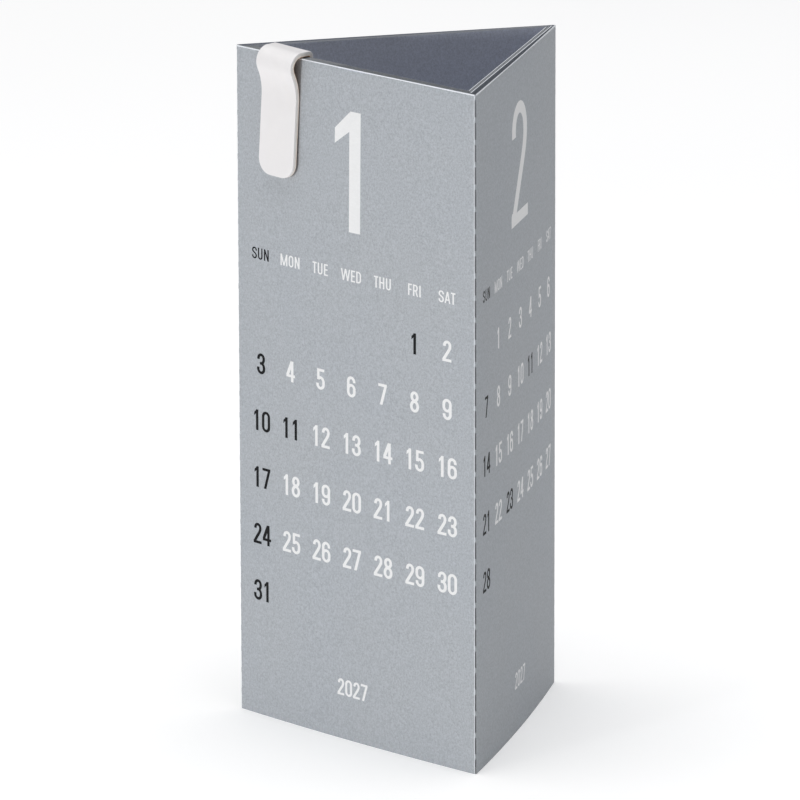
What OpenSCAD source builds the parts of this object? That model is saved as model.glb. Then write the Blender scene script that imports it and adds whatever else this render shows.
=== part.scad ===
// Three-sided desk calendar: four nested quarter sheets of folded card,
// held shut by a sprung leather clip over the top edge.
// All sizes are millimetres. +Z is up, the first month faces -Y.
// The origin is the middle of the footprint, on the table.

/* [Card] */
// Height of every sheet
panel_height = 180; // [120:5:240]
// Fold to fold width of the outermost sheet's panels
panel_width = 86.5; // [60:0.5:110]
// Thickness of the card
card = 0.25; // [0.2:0.05:0.4]
// Width of the closing flap behind the first panel of each sheet
flap_width = 34; // [30:1:44]
// Air between a front panel and its own flap
flap_gap = 0.12; // [0.1:0.02:0.24]
// Air between a flap and the next sheet's front panel
sheet_gap = 0.08; // [0.06:0.02:0.2]
// Air between the outermost sheet and the next one at the two front folds
first_side_gap = 1.6; // [1:0.1:2]
// Air between the outermost sheet and the next one at the rear fold
rear_fold_gap = 0.4; // [0.4:0.05:0.7]
// Air between the inner sheets on the other two sides
side_gap = 0.27; // [0.25:0.02:0.5]
// How far the flap's fold stands out past the front panel's cut edge
fold_show = 0.6; // [0.3:0.1:1.2]
// Slit left between two panels along a crease
crease_gap = 0.03; // [0.02:0.01:0.06]
// Outward bow of the outermost panels at the top edge
bow_top = 0.25; // [0.05:0.05:0.4]
// Outward bow of the outermost panels at the bottom edge
bow_bottom = 1.1; // [0.4:0.05:1.3]

/* [Clip] */
// Width of the strap
clip_width = 12.7; // [9:0.1:16]
// Distance from the left fold to the near side of the strap
clip_inset = 12; // [6:0.1:14]
// How far the strap is turned on the card, its left side up, in degrees
clip_turn = 2; // [0:0.5:3]
// Thickness of the white outer leather
leather = 0.65; // [0.55:0.05:0.9]
// Thickness of the lining leather, with the spring's pocket in it
lining = 0.65; // [0.55:0.05:0.9]
// Thickness of the spring steel strip
spring = 0.2; // [0.15:0.05:0.3]
// Glue film between the layers of the clip
glue = 0.03; // [0.02:0.01:0.06]
// Margin of leather round the spring strip
spring_margin = 2; // [1.5:0.25:3]
// Air between the clip's rear leg and the innermost flap
clip_fit = 0.1; // [0.08:0.02:0.3]
// Rise of the loop's inside above the card's top edge, and radius of its rear bend
loop_rise = 0.5; // [0.45:0.05:0.9]
// How far the loop's inside bulges out in front of the card
loop_bulge = 2.9; // [2.6:0.1:3.3]
// Inside radius of the loop's front bend
loop_radius = 2.6; // [2.3:0.1:2.9]
// Straight bit of strap between the loop and the waist
neck_length = 1.2; // [0.8:0.1:1.6]
// Air between the waist and the front card
waist_gap = 0.7; // [0.6:0.05:0.8]
// Lean of the strap where it runs in from the loop to the waist
neck_lean = 25; // [23:1:28]
// Flare of the front leg below the waist
leg_flare = 2; // [1:0.5:3.5]
// Reach of the front leg below the card's top edge
front_reach = 32; // [24:0.2:42]
// Reach of the rear leg below the card's top edge
rear_reach = 30; // [22:0.5:40]
// Corner radius at the two ends of the strap
end_radius = 4.2; // [3:0.2:5]

/* [Hidden] */
// sheets, from the outermost to the innermost
sheets = 4;
// angle at which the outermost sheet's three sides meet
corner = 60;
// turn of the second crease when the tube is pressed flat, with a little room
crease_turn = 18;
// strips across a bowed panel, and its levels from bottom to top
strips = 16;
levels = 6;
// how fast the bow fades towards the top edge
bow_power = 7;
// arc lead at a crease, so that its two sides do not touch
crease_lead = 2;
// steps along each bend of the strap
bend_steps = 14;
$fn = 96;

// depth of the sheet's front panel behind the outermost one
function front_in(k) = k * (2 * card + flap_gap + sheet_gap);
// angle at the two front folds: the inner sheets stand a little steeper than the outermost
inner_lean = asin((first_side_gap - rear_fold_gap) / panel_width);
function base(k) = k == 0 ? corner : corner + inner_lean;
// crease between the right and the back panel
function crease_c(k) = [0, panel_width * sin(corner) - (k == 0 ? 0 :
    (card + rear_fold_gap) / sin(corner / 2) + (k - 1) * (card + side_gap) / cos(base(k)))];
// crease between the front and the right panel
function crease_b(k) = [(crease_c(k)[1] - front_in(k)) / tan(base(k)), front_in(k)];
// crease between the back panel and the flap
function crease_a(k) = let (y = front_in(k) + flap_gap + card)
    [-(crease_c(k)[1] - y) / tan(base(k)), y];
// lengths of the right and the back panel, crease to crease
function right_length(k) = (crease_c(k)[1] - crease_b(k)[1]) / sin(base(k));
function back_length(k) = (crease_c(k)[1] - crease_a(k)[1]) / sin(base(k));
// left cut edge of the front panel
function cut_edge(k) = crease_a(k)[0] - card + fold_show;

// the card stack that the clip pinches, from its outer to its inner face
stack = front_in(sheets - 1) + flap_gap + 2 * card;
strap = lining + glue + leather;
// middle of the loop's front bend, in the strap's own plane: out from the card, up from its top
loop_out = loop_bulge - loop_radius;
loop_up = loop_rise - loop_radius;
// inner face of the rear leg
rear_out = -stack - clip_fit;
// half the slit between the strap's two halves, as an angle of the loop
split = asin(crease_gap / 2 / loop_radius);
// where the loop runs into the straight neck
neck_out = loop_out + loop_radius * cos(neck_lean);
neck_up = loop_up - loop_radius * sin(neck_lean);
// the waist's reverse curve
waist_radius = (neck_out - waist_gap - neck_length * sin(neck_lean)) / (1 - cos(neck_lean));
waist_out = waist_gap + waist_radius;
waist_up = neck_up - neck_length * cos(neck_lean) - waist_radius * sin(neck_lean);
// where the front leg starts, and how long it is
leg_out = waist_out - waist_radius * cos(leg_flare);
leg_up = waist_up - waist_radius * sin(leg_flare);
leg_length = (front_reach + leg_up) / cos(leg_flare);
// the strap's furthest point in front of the card
leg_end_out = leg_out + leg_length * sin(leg_flare) + strap * cos(leg_flare);
clip_out = max(loop_bulge + strap, leg_end_out);
// the spring strip, and the bottom of its pocket in the lining
spring_width = clip_width - 2 * spring_margin;
spring_radius = min(end_radius - spring_margin / 2, spring_width / 2.2);
pocket_from = lining - spring - glue;
// overrun of the pocket past the strap's split, so that its mouth is open
pocket_lead = 0.5;
// rounding of the strap's ends, limited by its width
end_round = min(end_radius, clip_width / 2.2);
// left side of the strap
clip_left = crease_a(0)[0] - card + clip_inset;

// shift that puts the middle of the footprint on the origin
move_x = -(crease_a(0)[0] + crease_b(0)[0]) / 2;
move_y = -(crease_c(0)[1] - clip_out) / 2;

// a point at polar angle a
function polar(r, a) = [r * cos(a), r * sin(a)];

// pie slice of radius r between two angles less than 180 apart
module slice(r, from, to) {
    reach = 2 * r / cos((to - from) / 4);
    intersection() {
        circle(r = r);
        polygon([[0, 0], polar(reach, from), polar(reach, (from + to) / 2), polar(reach, to)]);
    }
}

// flat panel from x = 0, its inner face on y = 0
module flat_plate(length) {
    translate([0, -card, 0])
        cube([length, card, panel_height]);
}

// height of a level as a share of the panel's, closer together towards the top
function level(j) = 1 - pow(1 - j / levels, 2);
// depth of the bow at a share of the height
function bow_depth(share) = bow_bottom - (bow_bottom - bow_top) * pow(share, bow_power);
// inner face of the panel at the share u of its length
function bow(depth, u) = -depth * 4 * u * (1 - u);

// panel that bows outwards, a little at the top and more further down
module bowed_plate(length) {
    row = strips + 1;
    ring = 2 * row;
    points = [
        for (j = [0 : levels], y = [0, -card], i = [0 : strips])
            [length * i / strips,
             y + bow(bow_depth(level(j)), i / strips),
             level(j) * panel_height]];
    inner = [for (j = [0 : levels - 1], i = [0 : strips - 1], n = [j * ring + i], f = [
        [n, n + 1, n + ring + 1],
        [n, n + ring + 1, n + ring]]) f];
    outer = [for (j = [0 : levels - 1], i = [0 : strips - 1], n = [j * ring + row + i], f = [
        [n, n + ring + 1, n + 1],
        [n, n + ring, n + ring + 1]]) f];
    bottom = [for (i = [0 : strips - 1], f = [
        [i, row + i + 1, i + 1],
        [i, row + i, row + i + 1]]) f];
    top = [for (i = [0 : strips - 1], n = [levels * ring + i], f = [
        [n, n + 1, n + row + 1],
        [n, n + row + 1, n + row]]) f];
    start = [for (j = [0 : levels - 1], n = [j * ring], f = [
        [n, n + ring, n + ring + row],
        [n, n + ring + row, n + row]]) f];
    end = [for (j = [0 : levels - 1], n = [j * ring + strips], f = [
        [n, n + row, n + ring + row],
        [n, n + ring + row, n + ring]]) f];
    polyhedron(points, concat(inner, outer, bottom, top, start, end), convexity = 4);
}

// one panel; sheet 0 bows, the others lie flat
module plate(k, length) {
    if (k == 0) bowed_plate(length);
    else flat_plate(length);
}

// rounded outside of a crease along z, on the panel that starts at it;
// turn is the angle that the card bends there
module crease_round(turn, room = 0) {
    outward = 270;
    linear_extrude(height = panel_height)
        slice(card, outward - turn + crease_lead + room, outward);
}

module front_panel(k) {
    color([0.68, 0.70, 0.73])
        translate([move_x + cut_edge(k), move_y + front_in(k), 0])
            plate(k, crease_b(k)[0] - crease_gap - cut_edge(k));
}

module right_panel(k) {
    color([0.60, 0.62, 0.65])
        translate([move_x + crease_b(k)[0], move_y + crease_b(k)[1], 0])
            rotate([0, 0, 180 - base(k)]) {
                plate(k, right_length(k) - crease_gap);
                crease_round(180 - base(k));
            }
}

module back_panel(k) {
    color([0.55, 0.57, 0.60])
        translate([move_x + crease_c(k)[0], move_y + crease_c(k)[1], 0])
            rotate([0, 0, 180 + base(k)]) {
                plate(k, back_length(k) - crease_gap);
                crease_round(2 * base(k), crease_turn);
            }
}

module flap(k) {
    color([0.50, 0.52, 0.56])
        translate([move_x + crease_a(k)[0], move_y + crease_a(k)[1], 0]) {
            flat_plate(flap_width);
            crease_round(180 - base(k));
        }
}

// stations along the strap's inner face: a point, and the angle that it faces away from;
// lead starts a half that far past the split
function loop_station(angle) =
    [[loop_out, loop_up] + polar(loop_radius, angle), angle];
function waist_station(angle) =
    [[waist_out, waist_up] + polar(waist_radius, angle), angle + 180];
function rear_station(angle) =
    [[rear_out + loop_rise, 0] + polar(loop_rise, angle), angle];
function rear_stations(reach, lead = 0) = concat(
    [[[loop_out - crease_gap / 2 + lead, loop_rise], 90]],
    [for (i = [0 : bend_steps]) rear_station(90 + 90 * i / bend_steps)],
    [[[rear_out, -reach], 180]]);
function front_stations(reach, lead = 0) = concat(
    lead > 0 ? [[[loop_out - lead, loop_rise], 90]] : [],
    [for (i = [0 : bend_steps])
        loop_station(90 - split - (90 - split + neck_lean) * i / bend_steps)],
    [for (i = [0 : bend_steps])
        waist_station(180 - neck_lean + (neck_lean + leg_flare) * i / bend_steps)],
    [[[leg_out, leg_up]
        + polar((reach + leg_up) / cos(leg_flare), leg_flare - 90), leg_flare]]);

// section of the strap between two distances from its inner face
module section(stations, near, far) {
    last = len(stations) - 1;
    polygon(concat(
        [for (s = stations) s[0] + polar(near, s[1])],
        [for (i = [last : -1 : 0]) stations[i][0] + polar(far, stations[i][1])]));
}

// outline of the strap seen from the front, its lower end rounded
module strap_outline(width, reach, radius) {
    side = (clip_width - width) / 2;
    translate([side, radius - reach])
        square([width, reach + loop_rise + 2 * strap]);
    translate([side + radius, -reach])
        square([width - 2 * radius, reach]);
    translate([side + radius, radius - reach])
        circle(r = radius);
    translate([side + width - radius, radius - reach])
        circle(r = radius);
}

// one layer of the strap in its place: its section, drawn out across, cut to the outline
module layer(width, reach, radius) {
    depth = stack + clip_fit + strap + clip_out;
    translate([move_x + clip_left + clip_width / 2, move_y - card, panel_height])
        rotate([0, clip_turn, 0])
            translate([-clip_width / 2, 0, 0])
                intersection() {
                    rotate([90, 0, 0])
                        linear_extrude(height = 2 * depth, center = true)
                            strap_outline(width, reach, radius);
                    translate([(clip_width - width) / 2, 0, 0])
                        rotate([90, 0, 90])
                            mirror([1, 0, 0])
                                linear_extrude(height = width)
                                    children();
                }
}

module clip_rear_leather() {
    color([0.93, 0.92, 0.91])
        layer(clip_width, rear_reach, end_round)
            section(rear_stations(rear_reach), lining + glue, strap);
}

module clip_rear_spring() {
    color([0.70, 0.72, 0.75])
        layer(spring_width, rear_reach - spring_margin, spring_radius)
            section(rear_stations(rear_reach), pocket_from + glue, lining);
}

module clip_rear_lining() {
    color([0.86, 0.80, 0.72])
        difference() {
            layer(clip_width, rear_reach, end_round)
                section(rear_stations(rear_reach), 0, lining);
            layer(spring_width + 2 * glue, rear_reach - spring_margin + glue, spring_radius + glue)
                section(rear_stations(rear_reach, pocket_lead), pocket_from, lining + glue);
        }
}

module clip_front_leather() {
    color([0.93, 0.92, 0.91])
        layer(clip_width, front_reach, end_round)
            section(front_stations(front_reach), lining + glue, strap);
}

module clip_front_spring() {
    color([0.70, 0.72, 0.75])
        layer(spring_width, front_reach - spring_margin, spring_radius)
            section(front_stations(front_reach), pocket_from + glue, lining);
}

module clip_front_lining() {
    color([0.86, 0.80, 0.72])
        difference() {
            layer(clip_width, front_reach, end_round)
                section(front_stations(front_reach), 0, lining);
            layer(spring_width + 2 * glue, front_reach - spring_margin + glue, spring_radius + glue)
                section(front_stations(front_reach, pocket_lead), pocket_from, lining + glue);
        }
}

front_panel(0);  // january_panel
right_panel(0);  // february_panel
back_panel(0);  // march_panel
flap(0);  // first_quarter_flap
front_panel(1);  // april_panel
right_panel(1);  // may_panel
back_panel(1);  // june_panel
flap(1);  // second_quarter_flap
front_panel(2);  // july_panel
right_panel(2);  // august_panel
back_panel(2);  // september_panel
flap(2);  // third_quarter_flap
front_panel(3);  // october_panel
right_panel(3);  // november_panel
back_panel(3);  // december_panel
flap(3);  // fourth_quarter_flap
clip_rear_leather();
clip_rear_spring();
clip_rear_lining();
clip_front_leather();
clip_front_spring();
clip_front_lining();
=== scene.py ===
"""Looks of a three-sided desk calendar: nested sheets of printed grey card, cut folds and a leather clip."""

import calendar
import math

import bpy
import numpy as np
from mathutils import Matrix, Vector
from mathutils.geometry import delaunay_2d_cdt


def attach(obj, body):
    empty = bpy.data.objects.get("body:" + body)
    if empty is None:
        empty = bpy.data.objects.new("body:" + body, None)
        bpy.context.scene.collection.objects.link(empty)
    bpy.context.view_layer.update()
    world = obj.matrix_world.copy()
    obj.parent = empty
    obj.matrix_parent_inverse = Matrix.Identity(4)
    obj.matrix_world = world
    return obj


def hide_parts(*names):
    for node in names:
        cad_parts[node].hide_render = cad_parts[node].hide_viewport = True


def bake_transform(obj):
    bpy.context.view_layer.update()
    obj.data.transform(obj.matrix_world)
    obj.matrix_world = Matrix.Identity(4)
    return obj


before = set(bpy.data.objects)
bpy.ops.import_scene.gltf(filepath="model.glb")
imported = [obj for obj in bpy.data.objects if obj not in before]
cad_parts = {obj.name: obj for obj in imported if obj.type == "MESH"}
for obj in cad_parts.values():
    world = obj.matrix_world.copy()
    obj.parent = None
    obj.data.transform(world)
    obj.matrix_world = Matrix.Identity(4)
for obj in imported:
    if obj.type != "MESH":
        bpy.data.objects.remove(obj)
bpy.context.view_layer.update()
scene = bpy.context.scene
MM = 0.001

# sizes of the card, in millimetres, as the solids have them
HEIGHT, WIDTH, CARD, FLAP = 180.0, 86.5, 0.25, 34.0
FLAP_GAP, SHEET_GAP, FIRST_SIDE_GAP, REAR_FOLD_GAP, SIDE_GAP = 0.12, 0.08, 1.6, 0.4, 0.27
FOLD_SHOW, CREASE_GAP = 0.6, 0.03
BOW_TOP, BOW_BOTTOM, BOW_POWER = 0.25, 1.1, 7
# cuts along the folds: ties of card with slits between them
TIE, TIE_PITCH, TIE_AT, SLIT = 1.3, 5.82, 156.0, 0.16
# widths of pale bands on the outermost sheet: a painted highlight along its top edge, and along its folds wear
# with a painted highlight
TOP_HIGHLIGHT_BAND, FOLD_WEAR_HIGHLIGHT_BAND = 0.32, 0.17

# sizes of the clip
CLIP_WIDTH, CLIP_INSET, LEATHER, LINING, SPRING, GLUE = 12.7, 12.0, 0.65, 0.65, 0.2, 0.03
SPRING_MARGIN, CLIP_FIT, LOOP_RISE, LOOP_BULGE, LOOP_RADIUS = 2.0, 0.1, 0.5, 2.9, 2.6
NECK, WAIST_GAP, LEAN, FLARE, CLIP_TURN = 1.2, 0.7, math.radians(25), math.radians(2), math.radians(2)
FRONT_REACH, REAR_REACH, END_RADIUS = 32.0, 30.0, 4.2

STRAP = LINING + GLUE + LEATHER
QUARTERS = ("first", "second", "third", "fourth")
YEAR = 2027


def front_in(k):
    return k * (2 * CARD + FLAP_GAP + SHEET_GAP)


def base(k):
    """Angle at a sheet's two front folds."""
    return math.radians(60) + (0.0 if k == 0 else math.asin((FIRST_SIDE_GAP - REAR_FOLD_GAP) / WIDTH))


def crease_c(k):
    inner = (CARD + REAR_FOLD_GAP) * 2 + (k - 1) * (CARD + SIDE_GAP) / math.cos(base(k)) if k else 0.0
    return 0.0, WIDTH * math.sin(math.radians(60)) - inner


def crease_b(k):
    return (crease_c(k)[1] - front_in(k)) / math.tan(base(k)), front_in(k)


def crease_a(k):
    y = front_in(k) + FLAP_GAP + CARD
    return -(crease_c(k)[1] - y) / math.tan(base(k)), y


STACK = front_in(3) + FLAP_GAP + 2 * CARD
CLIP_OUT = LOOP_BULGE + STRAP
MOVE_X = -(crease_a(0)[0] + crease_b(0)[0]) / 2
MOVE_Y = -(crease_c(0)[1] - CLIP_OUT) / 2


# ---------------------------------------------------------------- materials
# the colour sockets of a Mix node: two inputs and the output
MIX_ONE, MIX_OTHER, MIX_RESULT = 6, 7, 2
# where most values of a noise lie
NOISE_LOW, NOISE_HIGH = 0.3, 0.7


def material(name, build):
    """A material whose build function gets a few tools; texture scales count per metre of the piece."""
    m = bpy.data.materials.new(name)
    m.use_nodes = True
    nodes, links = m.node_tree.nodes, m.node_tree.links
    shader = next(n for n in nodes if n.type == "BSDF_PRINCIPLED")
    coords = nodes.new("ShaderNodeTexCoord").outputs["Object"]

    def noise(scale, detail=3.0, rough=0.55, stretch=(1, 1, 1), distort=0.0):
        place = nodes.new("ShaderNodeMapping")
        place.inputs["Scale"].default_value = stretch
        links.new(coords, place.inputs["Vector"])
        n = nodes.new("ShaderNodeTexNoise")
        n.inputs["Scale"].default_value = scale
        n.inputs["Detail"].default_value = detail
        n.inputs["Roughness"].default_value = rough
        n.inputs["Distortion"].default_value = distort
        links.new(place.outputs["Vector"], n.inputs["Vector"])
        return n.outputs["Fac"]

    def cells(scale):
        n = nodes.new("ShaderNodeTexVoronoi")
        n.feature = "SMOOTH_F1"
        n.inputs["Scale"].default_value = scale
        links.new(coords, n.inputs["Vector"])
        return n.outputs["Distance"]

    def ramp(value, *stops):
        r = nodes.new("ShaderNodeValToRGB")
        while len(r.color_ramp.elements) < len(stops):
            r.color_ramp.elements.new(0.5)
        for e, (at, colour) in zip(r.color_ramp.elements, stops):
            e.position = at
            e.color = (*colour, 1)
        links.new(value, r.inputs["Fac"])
        return r.outputs["Color"]

    def mix(share, one, other):
        n = nodes.new("ShaderNodeMix")
        n.data_type = "RGBA"
        n.inputs["Factor"].default_value = share
        links.new(one, n.inputs[MIX_ONE])
        links.new(other, n.inputs[MIX_OTHER])
        return n.outputs[MIX_RESULT]

    def bump(height, strength, distance):
        b = nodes.new("ShaderNodeBump")
        b.inputs["Strength"].default_value = strength
        b.inputs["Distance"].default_value = distance
        links.new(height, b.inputs["Height"])
        if shader.inputs["Normal"].is_linked:
            links.new(shader.inputs["Normal"].links[0].from_socket, b.inputs["Normal"])
        links.new(b.outputs["Normal"], shader.inputs["Normal"])

    def spread(value, low, high):
        n = nodes.new("ShaderNodeMapRange")
        n.inputs["From Min"].default_value = NOISE_LOW
        n.inputs["From Max"].default_value = NOISE_HIGH
        n.inputs["To Min"].default_value = low
        n.inputs["To Max"].default_value = high
        links.new(value, n.inputs["Value"])
        return n.outputs["Result"]

    tools = {
        "noise": noise, "cells": cells, "ramp": ramp, "mix": mix, "bump": bump, "spread": spread,
        "link": lambda socket, name: links.new(socket, shader.inputs[name]),
        "set": lambda name, value: setattr(shader.inputs[name], "default_value", value),
    }
    build(tools)
    return m


def scaled(colour, by):
    return tuple(min(1.0, c * by) for c in colour)


def card_face(colour, grain):
    """Uncoated card: a pearly speckle, a fine felt mark, stray fibres and a slow drift of tone."""

    def build(t):
        speck = t["noise"](3300, 2, 0.7)
        felt = t["noise"](1900, 2, 0.6, (1, 1, 0.8), 0.3)
        fibre = t["noise"](300, 3, 0.5, (1, 1, 5.0), 0.9)
        drift = t["noise"](26, 2, 0.5)
        light, dark = scaled(colour, 1 + grain), scaled(colour, 1 - grain)
        cool = (colour[0] * 0.965, colour[1] * 0.995, colour[2] * 1.035)
        warm = (colour[0] * 1.02, colour[1] * 1.01, colour[2] * 0.985)
        thin, thick = scaled(colour, 1 - grain / 2), scaled(colour, 1 + grain / 3)
        low, high = 0.36, 0.64
        fine = t["mix"](0.5, t["ramp"](speck, (low, dark), (high, light)),
                        t["ramp"](felt, (low, dark), (high, light)))
        slow = t["mix"](0.5, t["ramp"](drift, (low, cool), (high, warm)),
                        t["ramp"](fibre, (low, thin), (0.62, thick)))
        t["link"](t["mix"](0.3, fine, slow), "Base Color")
        t["link"](t["spread"](speck, 0.5, 0.7), "Roughness")
        t["set"]("Specular IOR Level", 0.3)
        t["bump"](felt, 0.25, 0.00003)
        t["bump"](speck, 0.2, 0.00002)

    return build


def ink(colour, rough, shine):
    """Printed ink that lets a little of the card's grain through."""

    def build(t):
        speck = t["noise"](1500, 2, 0.6)
        fibre = t["noise"](420, 3, 0.5, (1, 1, 3.5), 0.6)
        low, high = scaled(colour, 0.96), scaled(colour, 1.02)
        t["link"](t["mix"](0.5, t["ramp"](speck, (0.3, low), (0.7, high)),
                           t["ramp"](fibre, (0.3, low), (0.7, high))), "Base Color")
        t["link"](t["spread"](speck, rough - 0.06, rough + 0.08), "Roughness")
        t["set"]("Specular IOR Level", shine)
        t["bump"](speck, 0.12, 0.00002)

    return build


def leather_face(colour):
    """Smooth finished leather: pores, a soft grain and faint handling marks."""

    def build(t):
        pores = t["cells"](2600)
        soft = t["noise"](260, 4, 0.6)
        marks = t["noise"](90, 3, 0.6, (1, 1, 0.35), 0.8)
        tone = t["ramp"](soft, (0.32, scaled(colour, 0.975)), (0.68, scaled(colour, 1.01)))
        warm = (colour[0] * 1.0, colour[1] * 0.985, colour[2] * 0.965)
        t["link"](t["mix"](0.35, tone, t["ramp"](marks, (0.4, colour), (0.75, warm))), "Base Color")
        t["link"](t["spread"](soft, 0.42, 0.58), "Roughness")
        t["set"]("Specular IOR Level", 0.4)
        t["bump"](soft, 0.15, 0.00005)
        t["bump"](pores, 0.25, 0.00003)

    return build


def fibre_face(colour, dark):
    """Cut or unfinished leather: short fibres and uneven tone."""

    def build(t):
        fibre = t["noise"](1800, 4, 0.65, (1, 1, 0.4), 0.5)
        patch = t["noise"](300, 3, 0.6)
        t["link"](t["mix"](0.5, t["ramp"](fibre, (0.3, dark), (0.65, colour)),
                           t["ramp"](patch, (0.3, scaled(colour, 0.93)), (0.7, colour))), "Base Color")
        t["link"](t["spread"](patch, 0.7, 0.9), "Roughness")
        t["set"]("Specular IOR Level", 0.2)
        t["bump"](fibre, 0.4, 0.00006)

    return build


def steel(t):
    brushed = t["noise"](900, 3, 0.6, (12, 1, 1))
    t["link"](t["ramp"](brushed, (0.3, (0.48, 0.49, 0.51)), (0.7, (0.62, 0.63, 0.65))), "Base Color")
    t["link"](t["spread"](brushed, 0.25, 0.42), "Roughness")
    t["set"]("Metallic", 1.0)
    t["bump"](brushed, 0.1, 0.00001)


CARD_COLOUR = (0.376, 0.399, 0.427)
CARD_OUT = material("card_outside", card_face(CARD_COLOUR, 0.27))
# painted light: the reverse is the same card as the outside, made paler and bluer to stand in for light bounced
# round inside the tube
CARD_IN_PAINTED_LIGHT = material("card_inside_painted_light", card_face((0.50, 0.53, 0.62), 0.24))
# how pale the cut edge is on the three sides and the flap of each sheet, outermost first; painted light and
# shade: all edges are the same cut card, given dark tones where they lie in shade (inner sheets, back, flaps)
# and pale ones where they catch light
EDGE_SHADE_TONES = ((0.62, 0.56, 0.32, 0.22), (0.22, 0.76, 0.32, 0.22),
              (0.22, 0.30, 0.26, 0.22), (0.22, 0.66, 0.26, 0.22))


def cut_edge_material(tone):
    return material(f"card_cut_edge_shade_{round(tone * 100)}", card_face((tone, tone * 1.035, tone * 1.08), 0.1))


CARD_EDGES_BY_SHADE = {tone: cut_edge_material(tone) for tone in sorted({tone for tones in EDGE_SHADE_TONES for tone in tones})}
# painted highlight: pale card for the band along the top edge, and for the worn, highlit strip along the folds
CARD_HIGHLIGHT = material("card_painted_highlight", card_face((0.76, 0.79, 0.83), 0.08))
# painted shade: a dark card on the walls in the slits and at a panel's fold end, where only shade falls
CARD_SLIT_SHADE = material("card_slit_shade", card_face((0.24, 0.25, 0.265), 0.2))
INK_WHITE = material("ink_white", ink((0.765, 0.77, 0.775), 0.5, 0.3))
INK_BLACK = material("ink_black", ink((0.008, 0.008, 0.009), 0.6, 0.12))
LEATHER_WHITE = material("leather_white", leather_face((0.765, 0.752, 0.759)))
LEATHER_CUT = material("leather_cut_edge", fibre_face((0.96, 0.94, 0.91), (0.92, 0.88, 0.83)))
LINING_CUT = material("lining_cut_edge", fibre_face((0.95, 0.90, 0.84), (0.90, 0.82, 0.74)))
LEATHER_RAW = material("leather_lining", fibre_face((0.70, 0.42, 0.24), (0.52, 0.29, 0.15)))
STEEL = material("spring_steel", steel)


# ------------------------------------------------------------------ glyphs
# figures and letters are drawn one unit tall; points closer than these count as one
SAME, WELD = 1e-6, 1e-5


def arc(cx, cy, rx, ry, start, end, n=14):
    return [(cx + rx * math.cos(math.radians(start + (end - start) * i / n)),
             cy + ry * math.sin(math.radians(start + (end - start) * i / n))) for i in range(n + 1)]


def bezier(p, q, r, s, n=14):
    points = []
    for i in range(n + 1):
        t = i / n
        w = ((1 - t) ** 3, 3 * t * (1 - t) ** 2, 3 * t * t * (1 - t), t ** 3)
        points.append(tuple(sum(wi * v[a] for wi, v in zip(w, (p, q, r, s))) for a in (0, 1)))
    return points


def ribbon(points, thick, thin, closed=False):
    """Quads that a pen leaves along some points: its strokes are thick across and thin up and down."""
    stretch = thick / thin
    path = [Vector((x / stretch, y)) for x, y in points]
    path = [p for i, p in enumerate(path) if i == 0 or (p - path[i - 1]).length > SAME]
    if closed and (path[0] - path[-1]).length < SAME:
        path.pop()
    n = len(path)
    sides = []
    for i, p in enumerate(path):
        before = path[i - 1] if closed or i else p
        after = path[(i + 1) % n] if closed or i < n - 1 else p
        d1 = (p - before).normalized() if p != before else (after - p).normalized()
        d2 = (after - p).normalized() if p != after else d1
        d = (d1 + d2).normalized()
        half = thin / 2 / max(0.5, d.dot(d1))
        normal = Vector((-d.y, d.x)) * half
        sides.append(((p + normal), (p - normal)))
    quads = []
    for i in range(n if closed else n - 1):
        (a, b), (c, d) = sides[i], sides[(i + 1) % n]
        quads.append([(v.x * stretch, v.y) for v in (a, b, d, c)])
    return quads


def rect(x0, y0, x1, y1):
    return [(x0, y0), (x1, y0), (x1, y1), (x0, y1)]


DIGIT_WIDTH, DIGIT_PITCH = 0.57, 0.635


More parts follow.
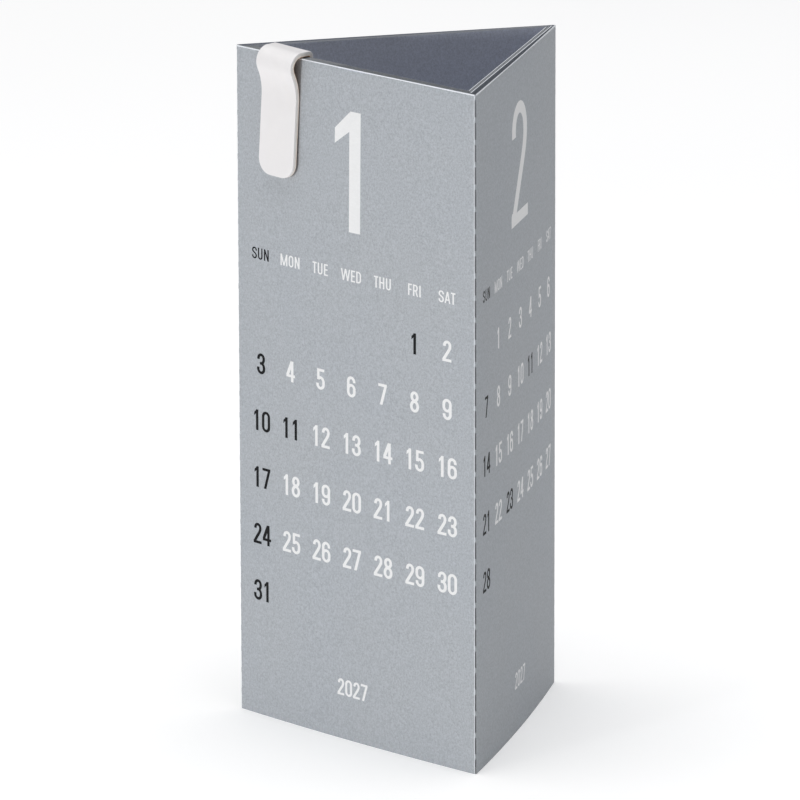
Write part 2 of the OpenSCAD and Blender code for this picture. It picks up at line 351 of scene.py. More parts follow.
def digit_shapes(v, h):
    """Figures one unit tall from strokes v across and h up and down."""

    def pen(points, closed=False):
        return ribbon(points, v, h, closed)

    left, right, mid, low, high = v / 2, DIGIT_WIDTH - v / 2, DIGIT_WIDTH / 2, h / 2, 1 - h / 2
    round_x = mid - left
    top_arc = high - 0.74
    six = ([(right - 0.012, 0.71)] + arc(mid - 0.005, 0.74, round_x - 0.008, top_arc, 0, 180)
           + [(left + 0.003, 0.5)] + arc(mid, 0.26, round_x, 0.26 - low, 180, 360))
    loop = arc(mid, 0.38, round_x, 0.195, 0, 170)
    turned = [[(DIGIT_WIDTH - x, 1 - y) for x, y in path] for path in (six, loop)]
    return {
        "0": pen(arc(mid, 0.74, round_x, top_arc, 0, 180)
                 + arc(mid, 0.26, round_x, 0.26 - low, 180, 360), True),
        "1": [[(0.388 - v, 0), (0.388, 0), (0.388, 1), (0.272, 1), (0.388 - v, 0.98)],
              [(0.388 - v, 0.944 - 0.9 * v), (0.39 - v, 0.99), (0.272, 1), (0.097, 0.842),
               (0.097, 0.83 - 0.9 * v)]],
        "2": pen([(0.0435 + v / 2, 0.725)] + arc(0.2986, 0.76, 0.2552 - v / 2, 0.24 - low, 180, 0)
                 + bezier((0.5538 - v / 2, 0.76), (0.5538 - v / 2, 0.64),
                          (0.493 - v / 2, 0.57), (0.4525 - v / 2, 0.505), 8)
                 + [(0.3065 - v / 2, 0.305), (0.145 - v / 2, 0.07)]) + [rect(0, 0, 0.556, h)]
             + [[(0, 0), (v + 0.03, 0), (v - 0.02, h + 0.02), (0.018, h + 0.02), (0, h - 0.02)]],
        "3": pen([(left + 0.0215, 0.705)] + arc(mid + 0.003, 0.75, round_x - 0.0185, high - 0.75, 180, 0)
                 + arc(mid + 0.003, 0.735, round_x - 0.0185, 0.216, 0, -80) + [(0.2, 0.519)])
             + pen([(0.2, 0.519)] + arc(mid, 0.3, round_x, 0.219, 82, 0)
                   + arc(mid, 0.26, round_x, 0.26 - low, 0, -180) + [(left, 0.335)]),
        "4": [rect(0.482 - v, 0, 0.482, 1), rect(0, 0.225, 0.585, 0.225 + h),
              [(0, 0.225), (v, 0.225 + 0.7 * h), (0.46, 0.93), (0.46, 1), (0.462 - v, 1), (0, 0.24 + h)]],
        "5": [rect(0.055, 1 - h, 0.535, 1), rect(0.055, 0.47, 0.045 + v, 1)]
             + pen(bezier((0.05 + v / 2, 0.475), (0.135, 0.645 - h),
                          (0.2, 0.597 + 0.049 - low), (mid - 0.01, 0.646 - low), 8)
                   + arc(mid - 0.01, 0.367, round_x, 0.279 - low, 90, 0) + [(right - 0.01, 0.26)]
                   + arc(mid - 0.01, 0.26, round_x, 0.26 - low, 0, -180) + [(left - 0.01, 0.3)]),
        "6": pen(six) + pen(loop) + pen([(right, 0.26), (right, 0.38)]),
        "7": [rect(0.01, 1 - h, 0.557, 1),
              [(0.1, 0), (0.105 + v, 0), (0.557, 0.9), (0.557, 0.95),
               (0.557 - v, 0.95), (0.55 - v, 1 - h)]],
        "8": pen(arc(mid, 0.745, round_x - 0.0295, high - 0.745, 0, 360, 40), True)
             + pen(arc(mid, 0.289, round_x, 0.289 - low, 0, 360, 40), True),
        "9": pen(turned[0]) + pen(turned[1]) + pen([(left, 0.74), (left, 0.62)]),
    }


def letter_shapes():
    """Capitals one unit tall: each has its width, the space before and behind it, and its shapes."""
    v, h = 0.160, 0.125

    def pen(points, closed=False):
        return ribbon(points, v, h, closed)

    def bowl(right, top, bottom, bend):
        middle = (top + bottom) / 2
        rise = min(0.24, (top - bottom) / 2)
        return pen([(v / 2, top)] + arc(right - bend, top - rise, bend, rise, 90, 0) + [(right, middle)]
                   + arc(right - bend, bottom + rise, bend, rise, 0, -90) + [(v / 2, bottom)])

    def tall(x):
        return rect(x, 0, x + v, 1)

    low, high = h / 2, 1 - h / 2
    return {
        "S": (0.59, 0.06, 0.05, pen([(0.515, 0.7)] + arc(0.295, 0.745, 0.22, 0.197, 0, 180)
              + bezier((0.075, 0.745), (0.075, 0.5), (0.517, 0.55), (0.517, 0.262))
              + arc(0.295, 0.262, 0.222, 0.204, 0, -180) + [(0.073, 0.3)])),
        "U": (0.57, 0.09, 0.09, pen([(v / 2, 1)] + arc(0.285, 0.27, 0.285 - v / 2, 0.27 - low, 180, 360)
              + [(0.57 - v / 2, 1)])),
        "N": (0.59, 0.09, 0.09, [tall(0), tall(0.59 - v), [(0, 1), (0.16, 1), (0.59, 0), (0.43, 0)]]),
        "M": (0.85, 0.08, 0.08, [tall(0), tall(0.85 - v), [(0, 1), (0.16, 1), (0.5, 0), (0.35, 0)],
              [(0.69, 1), (0.85, 1), (0.5, 0), (0.35, 0)]]),
        "O": (0.58, 0.07, 0.07, pen(arc(0.29, 0.73, 0.29 - v / 2, high - 0.73, 0, 180)
              + arc(0.29, 0.27, 0.29 - v / 2, 0.27 - low, 180, 360), True)),
        "T": (0.5, 0.03, 0.03, [rect(0, 1 - h, 0.5, 1), rect(0.25 - v / 2, 0, 0.25 + v / 2, 1)]),
        "E": (0.46, 0.09, 0.05, [tall(0), rect(0, 0, 0.46, h), rect(0, 1 - h, 0.46, 1),
              rect(0, 0.45, 0.42, 0.45 + h)]),
        "F": (0.43, 0.09, 0.04, [tall(0), rect(0, 1 - h, 0.43, 1), rect(0, 0.45, 0.39, 0.45 + h)]),
        "W": (1.08, 0.02, 0.02, [[(0, 1), (0.15, 1), (0.36, 0), (0.2, 0)],
              [(0.46, 1), (0.62, 1), (0.36, 0), (0.2, 0)], [(0.46, 1), (0.62, 1), (0.88, 0), (0.72, 0)],
              [(0.93, 1), (1.08, 1), (0.88, 0), (0.72, 0)]]),
        "D": (0.57, 0.09, 0.07, [tall(0)] + bowl(0.57 - v / 2, high, low, 0.26)),
        "H": (0.58, 0.09, 0.09, [tall(0), tall(0.58 - v), rect(0, 0.46, 0.58, 0.46 + h)]),
        "R": (0.57, 0.09, 0.05, [tall(0), [(0.24, 0.47), (0.38, 0.47), (0.57, 0), (0.42, 0)]]
              + bowl(0.54 - v / 2, high, 0.47, 0.2)),
        "I": (v, 0.09, 0.09, [tall(0)]),
        "A": (0.66, 0.02, 0.02, [[(0, 0), (0.155, 0), (0.41, 1), (0.25, 1)],
              [(0.505, 0), (0.66, 0), (0.41, 1), (0.25, 1)], rect(0.13, 0.23, 0.53, 0.23 + h)]),
    }


def turned_left(polygon):
    area = sum(a[0] * b[1] - b[0] * a[1] for a, b in zip(polygon, polygon[1:] + polygon[:1]))
    return polygon if area > 0 else polygon[::-1]


def outline(polygons):
    """Closed loops round the union of some polygons."""
    points, faces = [], []
    for polygon in map(turned_left, polygons):
        faces.append(list(range(len(points), len(points) + len(polygon))))
        points += [Vector(p) for p in polygon]
    found = delaunay_2d_cdt(points, [], faces, 0, WELD)
    corners, triangles, owners = found[0], found[2], found[5]
    after = {}
    kept = [t for t, owner in zip(triangles, owners) if owner]
    edges = {(t[i], t[(i + 1) % len(t)]) for t in kept for i in range(len(t))}
    for a, b in edges:
        if (b, a) not in edges:
            after.setdefault(a, []).append(b)
    loops = []
    while after:
        start = next(iter(after))
        loop, here = [], start
        while here in after:
            loop.append(here)
            there = after[here].pop()
            if not after[here]:
                del after[here]
            here = there
        path = [tuple(corners[i]) for i in loop]
        trimmed = []
        for i, p in enumerate(path):
            a, b = Vector(path[i - 1]), Vector(path[(i + 1) % len(path)])
            u, w = Vector(p) - a, b - Vector(p)
            if abs(u.x * w.y - u.y * w.x) > SAME * max(u.length * w.length, 1e-9) or u.dot(w) < 0:
                trimmed.append(p)
        if len(trimmed) > 2:
            loops.append(trimmed)
    return loops


# figures of the month numbers are lighter than those of the dates
NUMERALS = {c: outline(shape) for c, shape in digit_shapes(0.127, 0.098).items()}
DIGITS = {c: outline(shape) for c, shape in digit_shapes(0.170, 0.132).items()}
LETTERS = {c: (w, l, r, outline(shape)) for c, (w, l, r, shape) in letter_shapes().items()}


def placed(loops, x, z, size):
    return [[(x + px * size, z + py * size) for px, py in loop] for loop in loops]


def number(text, middle, z, size, figures):
    """Figures of one width each, centred on middle, their feet at z."""
    start = middle - (len(text) - 1) * DIGIT_PITCH * size / 2 - DIGIT_WIDTH * size / 2
    return [placed(figures[c], start + i * DIGIT_PITCH * size, z, size) for i, c in enumerate(text)]


def word(text, middle, z, size):
    """Capitals set with their own bearings, centred on middle, their feet at z."""
    total = sum(LETTERS[c][0] + LETTERS[c][1] + LETTERS[c][2] for c in text)
    total -= LETTERS[text[0]][1] + LETTERS[text[-1]][2]
    at = middle - total * size / 2 - LETTERS[text[0]][1] * size
    shapes = []
    for c in text:
        width, before, behind, loops = LETTERS[c]
        shapes.append(placed(loops, at + before * size, z, size))
        at += (before + width + behind) * size
    return shapes


# print layout, in millimetres: column width and sizes, then heights of the middle of each line
COLUMN, NUMERAL, DATE, DAY_NAME, YEAR_SIZE = 11.32, 31.9, 5.6, 3.1, 4.5
NUMERAL_Z, DAY_Z, FIRST_ROW_Z, ROW_STEP, YEAR_Z = 153.0, 125.55, 111.4, 15.45, 14.1
# how far the print of a front panel lies left of its middle
FRONT_PRINT_LEFT = 0.16
# days printed dark besides the first column, by month
DAYS = ("SUN", "MON", "TUE", "WED", "THU", "FRI", "SAT")
HOLIDAYS = {1: (1, 11), 2: (11, 23), 3: (21, 22), 4: (29,), 5: (3, 4, 5), 7: (19,), 8: (11,), 9: (20, 23),
            10: (11,), 11: (3, 23)}


def month_print(month, middle):
    """White and black shapes of one month's page."""
    white = number(str(month), middle, NUMERAL_Z - NUMERAL / 2, NUMERAL, NUMERALS)
    white += number(str(YEAR), middle, YEAR_Z - YEAR_SIZE / 2, YEAR_SIZE, DIGITS)
    black = []
    for column, day in enumerate(DAYS):
        (white if column else black).extend(
            word(day, middle + (column - 3) * COLUMN, DAY_Z - DAY_NAME / 2, DAY_NAME))
    first, count = calendar.monthrange(YEAR, month)
    first = (first + 1) % 7
    for date in range(1, count + 1):
        row, column = divmod(first + date - 1, 7)
        dark = column == 0 or date in HOLIDAYS.get(month, ())
        (black if dark else white).extend(
            number(str(date), middle + (column - 3) * COLUMN,
                   FIRST_ROW_Z - row * ROW_STEP - DATE / 2, DATE, DIGITS))
    return white, black


# ------------------------------------------------------------------- card
# what a face of a panel is, which is also the order of its materials; the slit faces carry painted shade and the
# pale band faces a painted highlight
FACE_OUT, FACE_IN, FACE_CUT, FACE_WHITE, FACE_BLACK, FACE_SLIT_SHADE, FACE_HIGHLIGHT = range(7)
# steps of a panel's edge along its foot in millimetres, and up its sides in number
EDGE_STEP, SIDE_STEPS = 4, 30
# spacing of the points inside a panel, along and up
BOWED_GRID, FLAT_GRID = (5.0, 6.0), (14.0, 15.0)
# steps of a tie round its fold, and how near the fold's axis it reaches
TIE_STEPS, TIE_INSIDE = 10, 0.02


class Panel:
    """One side of a sheet: s runs along it, o stands out from its inner face, z is up."""

    def __init__(self, name, origin, turn, length, bowed, cut_start, month=True):
        self.name, self.origin, self.length = name, origin, length
        self.bowed, self.cut_start, self.month = bowed, cut_start, month
        self.along = Vector((math.cos(turn), math.sin(turn)))
        self.out = Vector((math.sin(turn), -math.cos(turn)))

    def point(self, s, o, z):
        if self.bowed:
            u = min(1.0, max(0.0, s / self.length))
            o += (BOW_BOTTOM - (BOW_BOTTOM - BOW_TOP) * (z / HEIGHT) ** BOW_POWER) * 4 * u * (1 - u)
        p = self.along * s + self.out * o
        return Vector((p.x + self.origin[0] + MOVE_X, p.y + self.origin[1] + MOVE_Y, z)) * MM


def tie_spans():
    first = TIE_AT - math.floor(TIE_AT / TIE_PITCH) * TIE_PITCH
    spans = []
    while first - TIE / 2 < HEIGHT:
        spans.append((max(0.0, first - TIE / 2), min(HEIGHT, first + TIE / 2)))
        first += TIE_PITCH
    return spans


TIES = tie_spans()


def rim(panel):
    """Closed edge of a panel in s and z, turning left; its start has the slits between the ties."""
    n = max(2, round(panel.length / EDGE_STEP))
    begin = SLIT if panel.cut_start else 0.0
    bottom_s = 0.0 if panel.cut_start and TIES[0][0] <= 0 else begin
    top_s = 0.0 if panel.cut_start and TIES[-1][1] >= HEIGHT else begin
    loop = [(bottom_s + (panel.length - bottom_s) * i / n, 0.0) for i in range(n)]
    loop += [(panel.length, HEIGHT * i / SIDE_STEPS) for i in range(SIDE_STEPS)]
    loop += [(panel.length + (top_s - panel.length) * i / n, HEIGHT) for i in range(n)]
    left = [(top_s, HEIGHT)]
    if panel.cut_start:
        for low, high in reversed(TIES):
            if high < HEIGHT:
                left += [(SLIT, high), (0.0, high)]
            if low > 0:
                left += [(0.0, low), (SLIT, low)]
    else:
        left += [(0.0, HEIGHT * (1 - i / SIDE_STEPS)) for i in range(1, SIDE_STEPS)]
    loop += left
    if not panel.bowed:
        return loop
    # points where the painted highlight band below the top edge and the worn, highlit strip by the fold begin
    top, end = HEIGHT - TOP_HIGHLIGHT_BAND, panel.length - FOLD_WEAR_HIGHLIGHT_BAND
    whole = []
    for (s0, z0), (s1, z1) in zip(loop, loop[1:] + loop[:1]):
        whole.append((s0, z0))
        if (z0 - top) * (z1 - top) < 0:
            whole.append((s0 + (s1 - s0) * (top - z0) / (z1 - z0), top))
        if (s0 - end) * (s1 - end) < 0:
            whole.append((end, z0))
    return whole


def inside(points, loops):
    """Which points lie inside some closed loops, counting a loop in a loop as a hole."""
    hit = np.zeros(len(points), bool)
    x, y = points[:, 0], points[:, 1]
    for loop in loops:
        for (x0, y0), (x1, y1) in zip(loop, loop[1:] + loop[:1]):
            if y0 != y1:
                hit ^= ((y0 > y) != (y1 > y)) & (x < (x1 - x0) * (y - y0) / (y1 - y0) + x0)
    return hit


def filled(edge, shapes, grid):
    """Triangles that fill an edge and keep to the outlines of some shapes; also the edge's own points."""
    points = [Vector(p) for p in edge]
    lines = [(i, (i + 1) % len(edge)) for i in range(len(edge))]
    for loop in (l for shape in shapes for l in shape):
        at = len(points)
        points += [Vector(p) for p in loop]
        lines += [(at + i, at + (i + 1) % len(loop)) for i in range(len(loop))]
    points += [Vector(p) for p in grid]
    found = delaunay_2d_cdt(points, lines, [], 0, WELD)
    corners = np.array([tuple(v) for v in found[0]])
    triangles = np.array([t for t in found[2] if len(t) == 3])
    centres = corners[triangles].mean(1)
    triangles = triangles[inside(centres, [edge])]
    index = {i: n for n, olds in enumerate(found[3]) for i in olds}
    return corners, triangles, [index[i] for i in range(len(edge))]


def mesh_piece(name, points, faces, kinds, materials, sharp=(), flat=()):
    mesh = bpy.data.meshes.new(name)
    mesh.from_pydata([tuple(p) for p in points], [], [tuple(int(i) for i in f) for f in faces])
    for m in materials:
        mesh.materials.append(m)
    mesh.polygons.foreach_set("material_index", [int(k) for k in kinds])
    mesh.polygons.foreach_set("use_smooth", [int(k) not in flat for k in kinds])
    if sharp:
        wanted = {frozenset(map(int, e)) for e in sharp}
        mesh.edges.foreach_set("use_edge_sharp", [frozenset(e.vertices) in wanted for e in mesh.edges])
    mesh.validate()
    mesh.update()
    piece = bpy.data.objects.new(name, mesh)
    scene.collection.objects.link(piece)
    return piece


def card_piece(panel, node, cut_edge, white, black):
    """A panel or flap with its print cut into its outer face."""
    edge = rim(panel)
    step_s, step_z = BOWED_GRID if panel.bowed else FLAT_GRID
    ns, nz = round(panel.length / step_s), round(HEIGHT / step_z)
    grid = [(panel.length * i / ns, HEIGHT * j / nz) for i in range(1, ns) for j in range(1, nz)]
    # outlines of the painted highlight band along the top and of the worn, highlit strip along the fold
    highlight_and_wear_lines = [[p for p in edge if p[1] == HEIGHT - TOP_HIGHLIGHT_BAND], [p for p in edge if p[0] == panel.length - FOLD_WEAR_HIGHLIGHT_BAND]]
    face, face_triangles, face_edge = filled(edge, [highlight_and_wear_lines if panel.bowed else []] + white + black, grid)
    back, back_triangles, back_edge = filled(edge, [], grid)
    centres = face[face_triangles].mean(1)
    pale = (centres[:, 1] > HEIGHT - TOP_HIGHLIGHT_BAND) | (centres[:, 0] > panel.length - FOLD_WEAR_HIGHLIGHT_BAND)
    kinds = np.where(panel.bowed & pale, FACE_HIGHLIGHT, FACE_OUT)
    for kind, shapes in ((FACE_WHITE, white), (FACE_BLACK, black)):
        for shape in shapes:
            corners = np.array([p for loop in shape for p in loop])
            low, high = corners.min(0), corners.max(0)
            near = np.flatnonzero(((centres >= low) & (centres <= high)).all(1))
            kinds[near[inside(centres[near], shape)]] = kind
    n = len(face)
    points = [panel.point(s, CARD, z) for s, z in face] + [panel.point(s, 0.0, z) for s, z in back]
    faces = [tuple(t) for t in face_triangles] + [tuple(n + i for i in reversed(t)) for t in back_triangles]
    walls, wall_kinds, sharp = [], [], []
    for i in range(len(edge)):
        j = (i + 1) % len(edge)
        (s0, z0), (s1, z1) = edge[i], edge[j]
        # painted shade: walls in the slits and at a month panel's fold end get the dark slit card
        at_fold = s0 == s1 == panel.length and panel.month or panel.cut_start and max(s0, s1) <= SLIT
        wall_kinds.append(FACE_SLIT_SHADE if at_fold else FACE_CUT)
        a, b, c, d = face_edge[i], n + back_edge[i], n + back_edge[j], face_edge[j]
        walls.append((a, b, c, d))
        sharp += [(a, d), (b, c), (a, b)]
    kinds = list(kinds) + [FACE_IN] * len(back_triangles) + wall_kinds
    materials = [CARD_OUT, CARD_IN_PAINTED_LIGHT, cut_edge, INK_WHITE, INK_BLACK, CARD_SLIT_SHADE, CARD_HIGHLIGHT]
    piece = mesh_piece(panel.name, points, faces + walls, kinds, materials, sharp, flat=(FACE_CUT, FACE_SLIT_SHADE))
    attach(piece, node)
    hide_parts(node)


def fold_piece(name, before, after, cut_edge):
    """The ties of card that bend round a fold between two panels."""
    points, faces, kinds, sharp = [], [], [], []
    pivot = Vector(after.origin)
    start = math.atan2(before.out.y, before.out.x)
    turn = before.along.angle_signed(after.along) * -1
    for low, high in TIES:
        at = len(points)
        for i in range(-1, TIE_STEPS + 1):
            a = start + turn * max(0, i) / TIE_STEPS
            ray = Vector((math.cos(a), math.sin(a)))
            foot = pivot - before.along * (CREASE_GAP if i < 0 else 0.0)
            for r, z in ((CARD, low), (CARD, high), (TIE_INSIDE, high), (TIE_INSIDE, low)):
                p = foot + ray * r
                points.append(Vector((p.x + MOVE_X, p.y + MOVE_Y, z)) * MM)
        rows = TIE_STEPS + 2
        for i in range(rows - 1):
            for j, kind in enumerate((FACE_OUT, FACE_CUT, FACE_IN, FACE_CUT)):
                a, b = at + i * 4 + j, at + i * 4 + (j + 1) % 4
                faces.append((a, a + 4, b + 4, b))
                kinds.append(kind)
                sharp += [(a, a + 4), (b, b + 4)]
        faces += [(at, at + 1, at + 2, at + 3), tuple(at + rows * 4 - k for k in (1, 2, 3, 4))]
        kinds += [FACE_CUT, FACE_CUT]
    piece = mesh_piece(name, points, faces, kinds, [CARD_OUT, CARD_IN_PAINTED_LIGHT, cut_edge], sharp, flat=(FACE_CUT,))
    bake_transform(piece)


def sheet(k):
    """One quarter's sheet: three panels, a flap and the ties at its three folds."""
    months = [calendar.month_name[3 * k + i + 1].lower() for i in range(3)]
    b, c, a = crease_b(k), crease_c(k), crease_a(k)
    cut = a[0] - CARD + FOLD_SHOW
    right_length = (c[1] - b[1]) / math.sin(base(k)) - CREASE_GAP
    back_length = (c[1] - a[1]) / math.sin(base(k)) - CREASE_GAP
    sides = [
        Panel(months[0] + "_card", (cut, b[1]), 0, b[0] - CREASE_GAP - cut, k == 0, False),
        Panel(months[1] + "_card", b, math.pi - base(k), right_length, k == 0, True),
        Panel(months[2] + "_card", c, math.pi + base(k), back_length, k == 0, True),
        Panel(QUARTERS[k] + "_flap_card", a, 0, FLAP, False, True, False),
    ]
    bodies = [m + "_panel" for m in months] + [QUARTERS[k] + "_quarter_flap"]
    for i, (side, body) in enumerate(zip(sides, bodies)):
        middle = -cut - FRONT_PRINT_LEFT if i == 0 else (side.length + CREASE_GAP) / 2
        white, black = month_print(3 * k + i + 1, middle) if i < 3 else ([], [])
        card_piece(side, body, CARD_EDGES_BY_SHADE[EDGE_SHADE_TONES[k][i]], white, black)
    for i in range(3):
        fold_piece(f"{QUARTERS[k]}_sheet_fold_{i + 1}", sides[i], sides[i + 1],
                   CARD_EDGES_BY_SHADE[EDGE_SHADE_TONES[k][i]])


for quarter in range(4):
    sheet(quarter)


# ------------------------------------------------------------------- clip
REAR = -STACK - CLIP_FIT
LOOP = Vector((LOOP_BULGE - LOOP_RADIUS, LOOP_RISE - LOOP_RADIUS))
neck = LOOP + LOOP_RADIUS * Vector((math.cos(LEAN), -math.sin(LEAN)))
waist_radius = (neck.x - WAIST_GAP - NECK * math.sin(LEAN)) / (1 - math.cos(LEAN))
waist = Vector((WAIST_GAP + waist_radius, neck.y - NECK * math.cos(LEAN) - waist_radius * math.sin(LEAN)))
leg = waist - waist_radius * Vector((math.cos(FLARE), math.sin(FLARE)))
LEG = (FRONT_REACH + leg.y) / math.cos(FLARE)
CLIP_X = crease_a(0)[0] - CARD + CLIP_INSET + CLIP_WIDTH / 2 + MOVE_X
# the spring's pocket in the lining: depth, room at its sides and slope of its walls
POCKET, POCKET_FIT, POCKET_SLOPE = SPRING + GLUE / 2, 0.02, 0.1
# what a face of the strap is, which is also the order of its materials
STRAP_OUT, STRAP_IN, STRAP_CUT = range(3)
# roundings of each layer's inner and outer edges
LEATHER_EDGES, LINING_EDGES, SPRING_EDGES = (0.05, 0.16), (0.18, 0.05), (0.05, 0.05)
# steps along the strap: rounded ends, straight legs, rear bend, top, front of the loop, waist
END_STEPS, LEG_STEPS, REAR_STEPS, TOP_STEPS, LOOP_STEPS, WAIST_STEPS = 12, 10, 14, 6, 28, 20
# steps across the strap and round its edges
ACROSS_STEPS, CORNER_STEPS = 10, 5
# an end's rounding is at most the layer's width over this
END_SHARE = 2.2


def ray(angle):
    return Vector((math.cos(angle), math.sin(angle)))


def clip_stations():
    """Points on the strap's inner face from the rear end to the front end, with the way it faces."""
    half = math.pi / 2
    stations = []
    for i in range(END_STEPS + 1):
        up = -REAR_REACH + END_RADIUS * (1 - math.cos(half * i / END_STEPS))
        stations.append((Vector((REAR, up)), math.pi))
    for i in range(1, LEG_STEPS):
        stations.append((Vector((REAR, -(REAR_REACH - END_RADIUS) * (1 - i / LEG_STEPS))), math.pi))
    for i in range(REAR_STEPS + 1):
        a = math.pi - half * i / REAR_STEPS
        stations.append((Vector((REAR + LOOP_RISE, 0)) + LOOP_RISE * ray(a), a))
    for i in range(1, TOP_STEPS):
        out = REAR + LOOP_RISE + (LOOP.x - REAR - LOOP_RISE) * i / TOP_STEPS
        stations.append((Vector((out, LOOP_RISE)), half))
    for i in range(LOOP_STEPS + 1):
        a = half - (half + LEAN) * i / LOOP_STEPS
        stations.append((LOOP + LOOP_RADIUS * ray(a), a))
    for i in range(WAIST_STEPS + 1):
        a = math.pi - LEAN + (LEAN + FLARE) * i / WAIST_STEPS
        stations.append((waist + waist_radius * ray(a), a + math.pi))
    down = ray(FLARE - half)
    for i in range(1, LEG_STEPS):
        stations.append((leg + down * (LEG - END_RADIUS) * i / LEG_STEPS, FLARE))
    for i in range(END_STEPS + 1):
        stations.append((leg + down * (LEG - END_RADIUS * (1 - math.sin(half * i / END_STEPS))), FLARE))
    return stations


def strap_rows(width, trim):
    """Stations that a layer covers, by number, with half its width there; its ends are rounded."""
    stations = clip_stations()
    run = [0.0]
    for (p, _), (q, _) in zip(stations, stations[1:]):
        run.append(run[-1] + (q - p).length)
    total = run[-1]
    radius = min(END_RADIUS - trim / 2, width / END_SHARE)
    rows = {}
    for i, ((p, a), d) in enumerate(zip(stations, run)):
        end = min(d, total - d) - trim
        if end < -SAME:
            continue
        narrow = radius - math.sqrt(max(0.0, radius ** 2 - (radius - end) ** 2)) if end < radius else 0.0
        rows[i] = p, a, width / 2 - narrow
    return rows


def strap_layer(name, near, far, width, trim, edges, materials, nodes, pocket=None):
    """One layer of the strap between two levels, with a pocket for the spring in its outer face if asked."""
    rows = strap_rows(width, trim)
    held = strap_rows(*pocket) if pocket else {}
    tip = min((half for _, _, half in held.values()), default=0.0)
    across = [i / ACROSS_STEPS * 2 - 1 for i in range(ACROSS_STEPS + 1)]
    corner = [math.radians(90 * i / CORNER_STEPS) for i in range(CORNER_STEPS + 1)]
    r_in, r_out = edges

    def profile(half, station):
        """Points round the layer, as places across it with their level and the kind of face there."""
        reach = half - r_out
        if pocket:
            bottom = held[station][2] + POCKET_FIT if station in held else tip + POCKET_FIT
            floor_level = far - POCKET if station in held else far
            mouth = bottom + POCKET_SLOPE
            ring = [(-reach, far, STRAP_OUT), (-mouth, far, STRAP_IN), (-bottom, floor_level, STRAP_IN),
                    (0.0, floor_level, STRAP_IN), (bottom, floor_level, STRAP_IN), (mouth, far, STRAP_IN),
                    (reach, far, STRAP_OUT)]
        else:
            ring = [(x * reach, far, STRAP_OUT) for x in across]
        ring += [(reach + r_out * math.sin(c), far - r_out * (1 - math.cos(c)), STRAP_OUT) for c in corner[1:]]
        reach = half - r_in
        ring += [(reach + r_in * math.cos(c), near + r_in * (1 - math.sin(c)), STRAP_IN) for c in corner]
        ring += [(-x * reach, near, STRAP_IN) for x in across[1:]]
        ring += [(-reach - r_in * math.sin(c), near + r_in * (1 - math.cos(c)), STRAP_IN) for c in corner[1:]]
        reach = half - r_out
        ring += [(-reach - r_out * math.cos(c), far - r_out * (1 - math.sin(c)), STRAP_OUT) for c in corner[:-1]]
        return ring

    points, faces, kinds = [], [], []
    cos_turn, sin_turn = math.cos(CLIP_TURN), math.sin(CLIP_TURN)
    for station, (p, a, half) in rows.items():
        for x, level, _ in profile(half, station):
            q = p + ray(a) * level
            turned = x * cos_turn + q.y * sin_turn, q.y * cos_turn - x * sin_turn
            points.append(Vector((CLIP_X + turned[0], MOVE_Y - CARD - q.x, HEIGHT + turned[1])) * MM)
    ring = [kind for _, _, kind in profile(width / 2, min(rows))]
    n = len(ring)
    for i in range(len(rows) - 1):
        for j in range(n):
            k = (j + 1) % n
            faces.append((i * n + j, (i + 1) * n + j, (i + 1) * n + k, i * n + k))
            kinds.append(ring[j] if ring[j] == ring[k] else STRAP_CUT)
    for first, step in ((0, 1), ((len(rows) - 1) * n, -1)):
        middle = len(points)
        points.append(sum(points[first:first + n], Vector((0, 0, 0))) / n)
        faces += [(first + j, first + (j + 1) % n, middle)[::step] for j in range(n)]
        kinds += [STRAP_CUT] * n
    piece = mesh_piece(name, points, faces, kinds, materials)
    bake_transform(piece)
    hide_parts(*nodes)


SPRING_WIDTH = CLIP_WIDTH - 2 * SPRING_MARGIN
strap_layer("clip_outer_leather", LINING + GLUE, STRAP, CLIP_WIDTH, 0.0, LEATHER_EDGES,
            [LEATHER_WHITE, LEATHER_CUT, LEATHER_CUT],
            ("clip_rear_leather", "clip_front_leather"))
strap_layer("clip_inner_leather", 0.0, LINING, CLIP_WIDTH, 0.0, LINING_EDGES,
            [LINING_CUT, LEATHER_RAW, LINING_CUT],
            ("clip_rear_lining", "clip_front_lining"), (SPRING_WIDTH, SPRING_MARGIN))
strap_layer("clip_spring_strip", LINING - SPRING, LINING - GLUE / 2, SPRING_WIDTH, SPRING_MARGIN, SPRING_EDGES,
            [STEEL, STEEL, STEEL],
            ("clip_rear_spring", "clip_front_spring"))


# -------------------------------------------------- floor, light and camera
def floor():
    mesh = bpy.data.meshes.new("floor")
    half = 6.0
    corners = [(-half, -half, 0), (half, -half, 0), (half, half, 0), (-half, half, 0)]
    mesh.from_pydata(corners, [], [(0, 1, 2, 3)])
    obj = bpy.data.objects.new("floor", mesh)
    scene.collection.objects.link(obj)

    def build(t):
        tone = t["noise"](3.0, 2, 0.5)
        t["link"](t["ramp"](tone, (0.3, (0.93, 0.93, 0.935)), (0.7, (0.95, 0.95, 0.95))), "Base Color")
        t["set"]("Roughness", 0.9)
        t["set"]("Specular IOR Level", 0.1)
        t["set"]("Emission Color", (1, 1, 1, 1))
        t["set"]("Emission Strength", 0.16)

    mesh.materials.append(material("pale_floor", build))


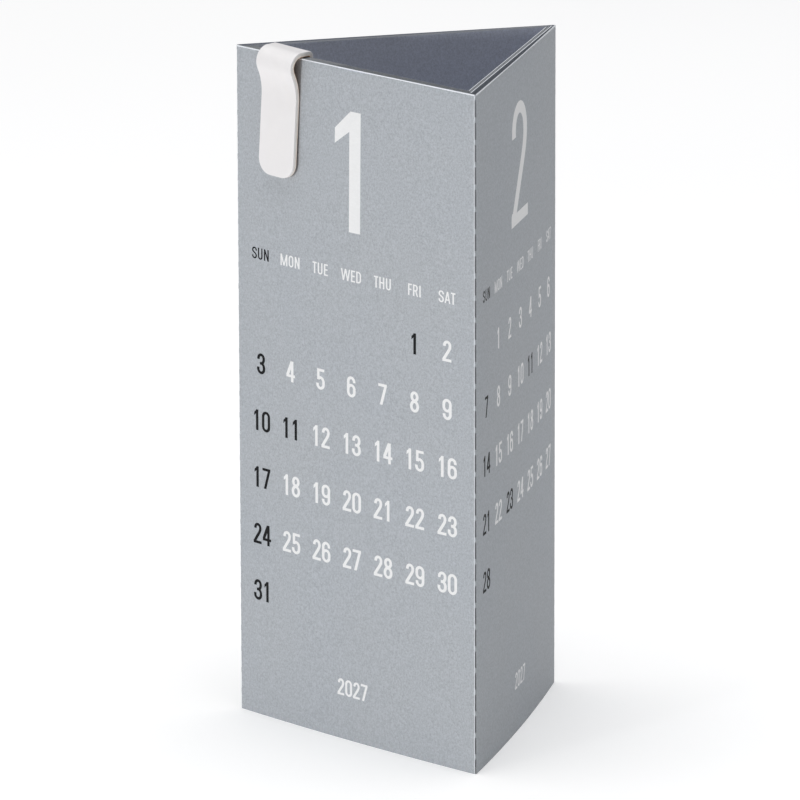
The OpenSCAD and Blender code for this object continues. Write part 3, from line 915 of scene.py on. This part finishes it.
def area_light(name, at, aim, size, watts, colour=(1, 1, 1)):
    light = bpy.data.lights.new(name, "AREA")
    light.shape, light.size, light.energy, light.color = "DISK", size, watts, colour
    obj = bpy.data.objects.new(name, light)
    scene.collection.objects.link(obj)
    obj.location = at
    obj.rotation_euler = (Vector(aim) - Vector(at)).to_track_quat("-Z", "Y").to_euler()


floor()
# a low light straight at the front, which does not reach into the tube, and a wide one overhead
area_light("key", at=(0.0, -2.5, 0.17), aim=(0, 0, 0.09), size=0.26, watts=24.4, colour=(1.0, 0.995, 0.99))
area_light("top", at=(0.0, 0.0, 2.6), aim=(0, 0, 0.1), size=3.0, watts=71)

world = bpy.data.worlds.new("studio")
world.use_nodes = True
back = next(n for n in world.node_tree.nodes if n.type == "BACKGROUND")
back.inputs["Color"].default_value = (0.97, 0.98, 1.0, 1)
back.inputs["Strength"].default_value = 0.15
scene.world = world
scene.view_settings.view_transform = "Standard"
scene.view_settings.look = "None"

# camera at the photograph's angle, worked out for a square frame of 800 pixels
AZIMUTH, ELEVATION, ROLL = math.radians(44.492), math.radians(14.646), math.radians(-0.153)
# place of the part's middle from the camera: right, ahead and up; focal length in pixels
OFFSET, FOCAL, PIXELS, SENSOR = Vector((13.262, 2273.53, 4.28)) * MM, 8667.9, 800, 36
flat_right = Vector((math.cos(AZIMUTH), math.sin(AZIMUTH), 0))
forward = Vector((-math.sin(AZIMUTH) * math.cos(ELEVATION), math.cos(AZIMUTH) * math.cos(ELEVATION),
                  -math.sin(ELEVATION)))
flat_up = flat_right.cross(forward)
right = math.cos(ROLL) * flat_right + math.sin(ROLL) * flat_up
up = -math.sin(ROLL) * flat_right + math.cos(ROLL) * flat_up
lens = bpy.data.cameras.new("camera")
lens.sensor_width = SENSOR
lens.lens = FOCAL / PIXELS * SENSOR
lens.clip_start, lens.clip_end = 0.05, 50
camera = bpy.data.objects.new("camera", lens)
scene.collection.objects.link(camera)
place = Vector((0, 0, HEIGHT / 2 * MM)) - (right * OFFSET.x + forward * OFFSET.y + up * OFFSET.z)
camera.matrix_world = Matrix(((right.x, up.x, -forward.x, place.x), (right.y, up.y, -forward.y, place.y),
                              (right.z, up.z, -forward.z, place.z), (0, 0, 0, 1)))
scene.camera = camera
